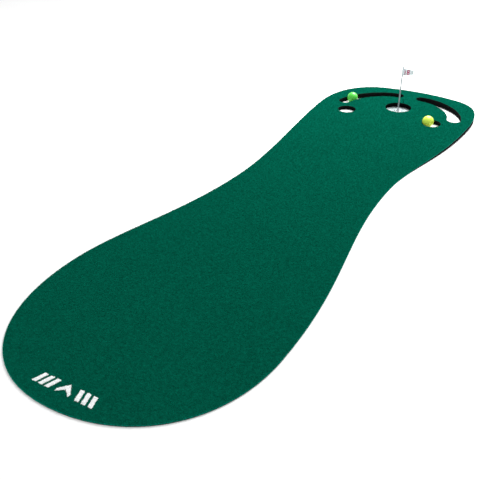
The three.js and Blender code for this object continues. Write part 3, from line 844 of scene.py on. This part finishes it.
def make_socket():
    """The white boss that holds the stick: a stepped turning with four ribs over its foot."""
    low, high = corners("flag_socket")
    foot = (high.x - low.x) / 2
    top = SOCKET_RADIUS
    profile = [
        (0.0, low.z),
        (foot, low.z),
        (foot, low.z + 1.3 * MM),
        (top + 1.0 * MM, low.z + 4.6 * MM),
        (top, low.z + 7.5 * MM),
        (top, high.z - 1.6 * MM),
        (top + 0.35 * MM, high.z - 1.2 * MM),
        (top + 0.35 * MM, high.z),
        (SOCKET_BORE, high.z),
        (SOCKET_BORE, low.z + SOCKET_FLOOR),
        (0.0, low.z + SOCKET_FLOOR),
    ]
    socket = turned("flag_socket_moulding", rounded(profile, 0.35 * MM), cup, 72)
    ribs = []
    for i in range(SOCKET_RIBS):
        turn = math.pi / 4 + i * 2 * math.pi / SOCKET_RIBS
        place = (cup.x + 5.0 * MM * math.cos(turn), cup.y + 5.0 * MM * math.sin(turn), low.z + 2.6 * MM)
        bpy.ops.mesh.primitive_cube_add(size=1, location=place, rotation=(0, 0, turn))
        bpy.context.object.scale = (4.6 * MM, 0.8 * MM, 4.2 * MM)
        ribs.append(added(f"rib_{i}"))
        edit_all(ribs[-1])
        bpy.ops.mesh.bevel(offset=0.2 * MM, segments=2, affect="EDGES")
        object_mode()
    added_ribs = joined(ribs)
    apply_modifier(socket, "BOOLEAN", "ribs", operation="UNION", object=added_ribs, solver="EXACT")
    bpy.data.objects.remove(added_ribs)
    finished(socket, "flag_socket", "cup", WHITE)


def ring_profile(inner, outer, bottom, top, radius, steps=4):
    """A closed rectangle with rounded corners, for a flat ring."""
    loop = [(inner, bottom), (outer, bottom), (outer, top), (inner, top), (inner, bottom)]
    return rounded(loop, radius, steps)


def make_screw():
    """A pan-head screw seen from below, with a cross recess, and its plain washer."""
    low, high = corners("socket_screw")
    head = (high.x - low.x) / 2
    shank = SCREW_SHANK
    head_top = low.z + SCREW_HEAD
    profile = [(0.0, low.z), (head * 0.75, low.z + 0.08 * MM), (head, low.z + 0.55 * MM), (head, head_top)]
    profile += [(shank, head_top), (shank, high.z - 0.4 * MM), (shank * 0.6, high.z), (0.0, high.z)]
    screw = turned("socket_screw_turned", rounded(profile, 0.12 * MM, 2), cup, 40)
    for i in range(2):
        place = (cup.x, cup.y, low.z)
        bpy.ops.mesh.primitive_cube_add(size=1, location=place, rotation=(0, 0, i * math.pi / 2))
        bpy.context.object.scale = (2.8 * MM, 0.55 * MM, 1.2 * MM)
        slot = added(f"recess_{i}")
        edit_all(slot)
        bpy.ops.mesh.bevel(offset=0.08 * MM, segments=1, affect="EDGES")
        object_mode()
        apply_modifier(screw, "BOOLEAN", "recess", operation="DIFFERENCE", object=slot, solver="EXACT")
        bpy.data.objects.remove(slot)
    finished(screw, "socket_screw", "cup", STEEL, 30)
    low, high = corners("socket_washer")
    outer = (high.x - low.x) / 2
    ring = ring_profile(WASHER_HOLE, outer, low.z, high.z, 0.1 * MM, 2)
    washer = turned("socket_washer_ring", ring, cup, 48)
    finished(washer, "socket_washer", "cup", STEEL)


def make_stick():
    """The rod, the cap on its top and the collar that the flag's sleeve rests on."""
    low, high = corners("flag_stick")
    radius = (high.x - low.x) / 2
    first = low.z + STICK_CHAMFER
    rise = high.z - low.z - 2 * STICK_CHAMFER
    wall = [(radius, first + rise * i / STICK_ROWS) for i in range(STICK_ROWS + 1)]
    end = radius - STICK_CHAMFER
    profile = [(0.0, low.z), (end, low.z), *wall, (end, high.z), (0.0, high.z)]
    stick = turned("flagstick_rod", profile, cup, 48)
    # The rod takes the grey stick colour, which is painted shade on a white stick.
    finished(stick, "flag_stick", "flagstick", STICK)
    low, high = corners("stick_cap")
    outer = (high.x - low.x) / 2
    inner = radius + CAP_GAP
    inside_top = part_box("flag_stick")[1][2] + CAP_GAP
    dome = [
        (outer * math.cos(t), high.z - CAP_DOME + CAP_DOME * math.sin(t))
        for t in (math.pi / 2 * i / CAP_STEPS for i in range(CAP_STEPS + 1))
    ]
    profile = [(0.0, inside_top), (inner, inside_top), (inner, low.z), (outer, low.z), (outer, low.z + MM)]
    profile += [(outer - 0.2 * MM, low.z + 1.2 * MM), (outer - 0.2 * MM, low.z + 1.5 * MM), *dome]
    cap = turned("flagstick_cap_moulding", profile, cup, 48)
    finished(cap, "stick_cap", "flagstick", WHITE)
    low, high = corners("flag_collar")
    outer = (high.x - low.x) / 2
    ring = ring_profile(inner, outer, low.z, high.z, 0.4 * MM)
    collar = turned("flag_collar_ring", ring, cup, 48)
    finished(collar, "flag_collar", "flagstick", WHITE)


# ---------------------------------------------------------------- the flag

FLAG = woven_material(
    "flag_nylon",
    rgb(0.80, 0.86, 0.92),
    rgb(0.88, 0.93, 0.97),
    9000.0,
    (0, 2),
    0.75,
    0.03 * MM,
    Sheen_Weight=0.25,
    Sheen_Roughness=0.4,
)
RED = woven_material(
    "flag_print_red", rgb(0.50, 0.045, 0.15), rgb(0.60, 0.07, 0.19), 9000.0, (0, 2), 0.7, 0.02 * MM
)


def flag_axes():
    """The direction along the flag, from the stick to its fly, and the way that its front faces."""
    low, high = corners("flag_cloth")
    far = Vector((high.x - cup.x, high.y - cup.y, 0))
    along = far.normalized()
    return along, Vector((along.y, -along.x, 0)), far.length


def make_flag():
    """The cloth goes round the stick as a sleeve and hangs from it, and the printed digits follow it."""
    low, high = corners("flag_cloth")
    along, front, length = flag_axes()
    columns = WRAP_COLUMNS + PANEL_COLUMNS
    bpy.ops.mesh.primitive_grid_add(x_subdivisions=columns, y_subdivisions=FLAG_ROWS, size=1)
    flag = added("flag_panel")
    wraps = WRAP_COLUMNS / columns
    loop = 2 * math.pi * SLEEVE_RADIUS
    uv = flag.data.uv_layers.active.data
    size = (SLEEVE_TAIL + loop + length - SLEEVE_RADIUS, high.z - low.z)
    home = {}
    for vertex in flag.data.vertices:
        u, v = vertex.co.x + 0.5, vertex.co.y + 0.5
        if u < wraps:
            place, depth = sleeve_point(u / wraps * (SLEEVE_TAIL + loop))
            reach = 0.0
        else:
            reach = (u - wraps) / (1 - wraps)
            place, depth = SLEEVE_RADIUS + reach * (length - SLEEVE_RADIUS), 0.0
        top = high.z - reach * FLAG_TOP_DROP
        bottom = low.z + reach * (high.z - low.z - FLAG_TOP_DROP - FLY_HEIGHT)
        spot = cup + along * place + front * depth
        vertex.co = (spot.x, spot.y, bottom + v * (top - bottom))
        home[vertex.index] = (u, v)
    for loop_corner, entry in zip(flag.data.loops, uv):
        u, v = home[loop_corner.vertex_index]
        entry.uv = (u * size[0], v * size[1])
    still = {v.index: v.co.copy() for v in flag.data.vertices}
    held = flag.vertex_groups.new(name="held")
    held.add([i for i, (u, v) in home.items() if u <= wraps + 0.02], 1.0, "REPLACE")
    hang(flag)
    for vertex in flag.data.vertices:
        u, v = home[vertex.index]
        reach = max(0.0, (u - wraps) / (1 - wraps))
        ripple = math.sin(reach * 5.2 + v * 1.1) * RIPPLE * min(1.0, reach * 2.5)
        start = still[vertex.index]
        moved = vertex.co - start
        if moved.length > FLAG_SAG:
            moved *= FLAG_SAG / moved.length
        vertex.co = start + moved + front * ripple
    tree = KDTree(len(still))
    for index, place in still.items():
        tree.insert(place, index)
    tree.balance()
    moves = {v.index: v.co - still[v.index] for v in flag.data.vertices}
    apply_modifier(flag, "SOLIDIFY", "cloth", thickness=CLOTH, offset=0, use_even_offset=False)
    apply_modifier(flag, "SUBSURF", "soft", levels=1, render_levels=1)
    smooth(flag, 60)
    coated(flag, FLAG)
    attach(flag, "flag")
    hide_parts("flag_cloth")
    pieces = [make_digit(name, tree, moves, front) for name in DIGITS]


def sleeve_point(run):
    """Where the cloth is after this much of its length: the tail behind the panel, then round the stick."""
    if run < SLEEVE_TAIL:
        return SLEEVE_RADIUS + SLEEVE_TAIL - run, -OVERLAP
    turn = (run - SLEEVE_TAIL) / SLEEVE_RADIUS
    ease = OVERLAP * (1 - turn / (2 * math.pi))
    return SLEEVE_RADIUS * math.cos(turn), -SLEEVE_RADIUS * math.sin(turn) - ease * math.cos(turn)


def hang(flag):
    """Lets the cloth hang from its sleeve for a moment."""
    scene = bpy.context.scene
    only(flag)
    modifier = flag.modifiers.new("hang", "CLOTH")
    settings = modifier.settings
    settings.quality = 6
    settings.mass = 0.008
    settings.tension_stiffness = 40
    settings.compression_stiffness = 40
    settings.shear_stiffness = 20
    settings.bending_stiffness = 2.0
    settings.vertex_group_mass = "held"
    modifier.point_cache.frame_start = 1
    modifier.point_cache.frame_end = FLAG_FRAMES
    for step in range(1, FLAG_FRAMES + 1):
        scene.frame_set(step)
    bpy.ops.object.modifier_apply(modifier="hang")
    scene.frame_set(1)


DIGITS = ["flag_one_front", "flag_one_rear", "flag_eight_front", "flag_eight_rear"]


def make_digit(node, tree, moves, front):
    """A printed digit: the CAD's outline, laid on the cloth and moved as the cloth moved."""
    digit = copy_of(node, node.replace("flag", "printed"))
    edit_all(digit)
    bpy.ops.mesh.subdivide(number_cuts=2)
    object_mode()
    side = 1 if node.endswith("front") else -1
    low, high = corners("flag_cloth")
    depths = [(v.co - cup).dot(front) for v in digit.data.vertices]
    base = min(depths, key=abs)
    for vertex, depth in zip(digit.data.vertices, depths):
        flat = vertex.co - front * depth
        found = tree.find_n(flat, 4)
        weights = [1 / (distance + 0.05 * MM) for _, _, distance in found]
        move = sum((moves[i] * w for (_, i, _), w in zip(found, weights)), Vector()) / sum(weights)
        height = abs(depth - base) * 0.4 + CLOTH / 2 + DIGIT_LIFT / 2
        vertex.co = flat + move + front * side * height
    return finished(digit, node, "flag", RED, 30)


# ---------------------------------------------------------------- the balls


def dimple_centres():
    """Directions spread evenly over a ball, along a golden spiral."""
    turn = math.pi * (3 - math.sqrt(5))
    index = np.arange(DIMPLES)
    height = 1 - 2 * (index + 0.5) / DIMPLES
    reach = np.sqrt(1 - height**2)
    return np.stack([reach * np.cos(index * turn), reach * np.sin(index * turn), height], axis=1)


def make_ball(colour, material, tilt):
    """A dimpled cover in two half shells, from a cube that is divided and rounded."""
    low, high = corners(f"{colour}_ball_cover_lower")
    centre = Vector(((low.x + high.x) / 2, (low.y + high.y) / 2, low.z + BALL_RADIUS))
    bpy.ops.mesh.primitive_cube_add(size=1, location=(0, 0, 0))
    ball = added(f"{colour}_ball_cover")
    edit_all(ball)
    bpy.ops.mesh.subdivide(number_cuts=BALL_CUTS)
    bpy.ops.transform.tosphere(value=1.0)
    object_mode()
    points = np.empty(len(ball.data.vertices) * 3)
    ball.data.vertices.foreach_get("co", points)
    points = points.reshape(-1, 3)
    points /= np.linalg.norm(points, axis=1)[:, None]
    centres = dimple_centres() @ np.array(Matrix.Rotation(tilt, 3, "X")).T
    nearest = np.arccos(np.clip(points @ centres.T, -1, 1)).min(axis=1) * BALL_RADIUS
    share = np.clip(nearest / DIMPLE_RADIUS, 0, 1)
    depth = DIMPLE_DEPTH * (0.5 + 0.5 * np.cos(np.pi * share**1.6))
    points *= (BALL_RADIUS - depth)[:, None]
    ball.data.vertices.foreach_set("co", (points + np.array(centre)).ravel())
    ball.data.update()
    for half, side in (("lower", -1), ("upper", 1)):
        shell = twin(ball)
        shell.name = shell.data.name = f"{colour}_ball_{half}_half"
        pick_faces(shell, lambda f: (f.center.z - centre.z) * side < 0)
        bpy.ops.mesh.delete(type="FACE")
        object_mode()
        apply_modifier(shell, "SOLIDIFY", "wall", thickness=COVER, offset=-1)
        finished(shell, f"{colour}_ball_cover_{half}", f"{colour}_ball", material, 50)
    bpy.data.objects.remove(ball)
    coated(nodes[f"{colour}_ball_core"], CORE)


CORE = grained_material(
    "ball_core_rubber", rgb(0.09, 0.11, 0.13), rgb(0.14, 0.17, 0.2), 0.75, 600.0, 0.1 * MM
)
GREEN_COVER = moulded_material("green_cover", rgb(0.05, 0.58, 0.03), rgb(0.08, 0.66, 0.045), 0.34, 0.2)
YELLOW_COVER = moulded_material("yellow_cover", rgb(0.70, 0.92, 0.05), rgb(0.76, 0.97, 0.08), 0.34, 0.2)


# ---------------------------------------------------------------- the floor, the lights and the camera


def make_floor():
    bpy.ops.mesh.primitive_plane_add(size=30, location=(0, 0, -0.2 * MM))
    floor = added("floor")
    material, tree, shader, place = new_material("pale_floor", 0.9)
    cloudy = placed(tree, MOTTLE, Vector=place, Patches=3.0, Clouds=0.6)
    colour = mixed(tree, cloudy["Mask"], rgb(0.93, 0.93, 0.93), rgb(0.95, 0.95, 0.95))
    tree.links.new(colour, shader.inputs["Base Color"])
    coated(floor, material)


def add_light(name, place, target, size, power):
    light = bpy.data.lights.new(name, "AREA")
    light.shape = "DISK"
    light.size = size
    light.energy = power
    lamp = bpy.data.objects.new(name, light)
    lamp.location = place
    lamp.rotation_euler = (Vector(target) - Vector(place)).to_track_quat("-Z", "Y").to_euler()
    bpy.context.scene.collection.objects.link(lamp)


def make_light():
    world = bpy.data.worlds.new("soft_white")
    world.use_nodes = True
    sky = world.node_tree.nodes["Background"]
    sky.inputs["Color"].default_value = rgb(1, 1, 1)
    sky.inputs["Strength"].default_value = WORLD_STRENGTH
    bpy.context.scene.world = world
    bpy.context.scene.view_settings.view_transform = "Standard"
    add_light("overhead", LAMP_PLACE, LAMP_TARGET, LAMP_SIZE, LAMP_POWER)


def make_camera():
    lens = bpy.data.cameras.new("camera")
    lens.sensor_width = 36
    lens.lens = LENS
    lens.clip_start = 0.01
    lens.clip_end = 60
    camera = bpy.data.objects.new("camera", lens)
    yaw, pitch, roll = CAMERA_YAW, CAMERA_PITCH, CAMERA_ROLL
    forward = Vector((math.sin(yaw) * math.cos(pitch), math.cos(yaw) * math.cos(pitch), -math.sin(pitch)))
    right = Vector((math.cos(yaw), -math.sin(yaw), 0))
    up = right.cross(forward)
    right, up = right * math.cos(roll) + up * math.sin(roll), up * math.cos(roll) - right * math.sin(roll)
    turn = Matrix((right, up, -forward)).transposed().to_4x4()
    camera.matrix_world = Matrix.Translation(CAMERA_PLACE) @ turn
    bpy.context.scene.collection.objects.link(camera)
    bpy.context.scene.camera = camera


make_camera()
make_layers()
make_turf()
make_foam()
make_plate()
make_socket()
make_screw()
make_stick()
make_flag()
make_ball("green", GREEN_COVER, 0.7)
make_ball("yellow", YELLOW_COVER, 1.9)
make_floor()
make_light()
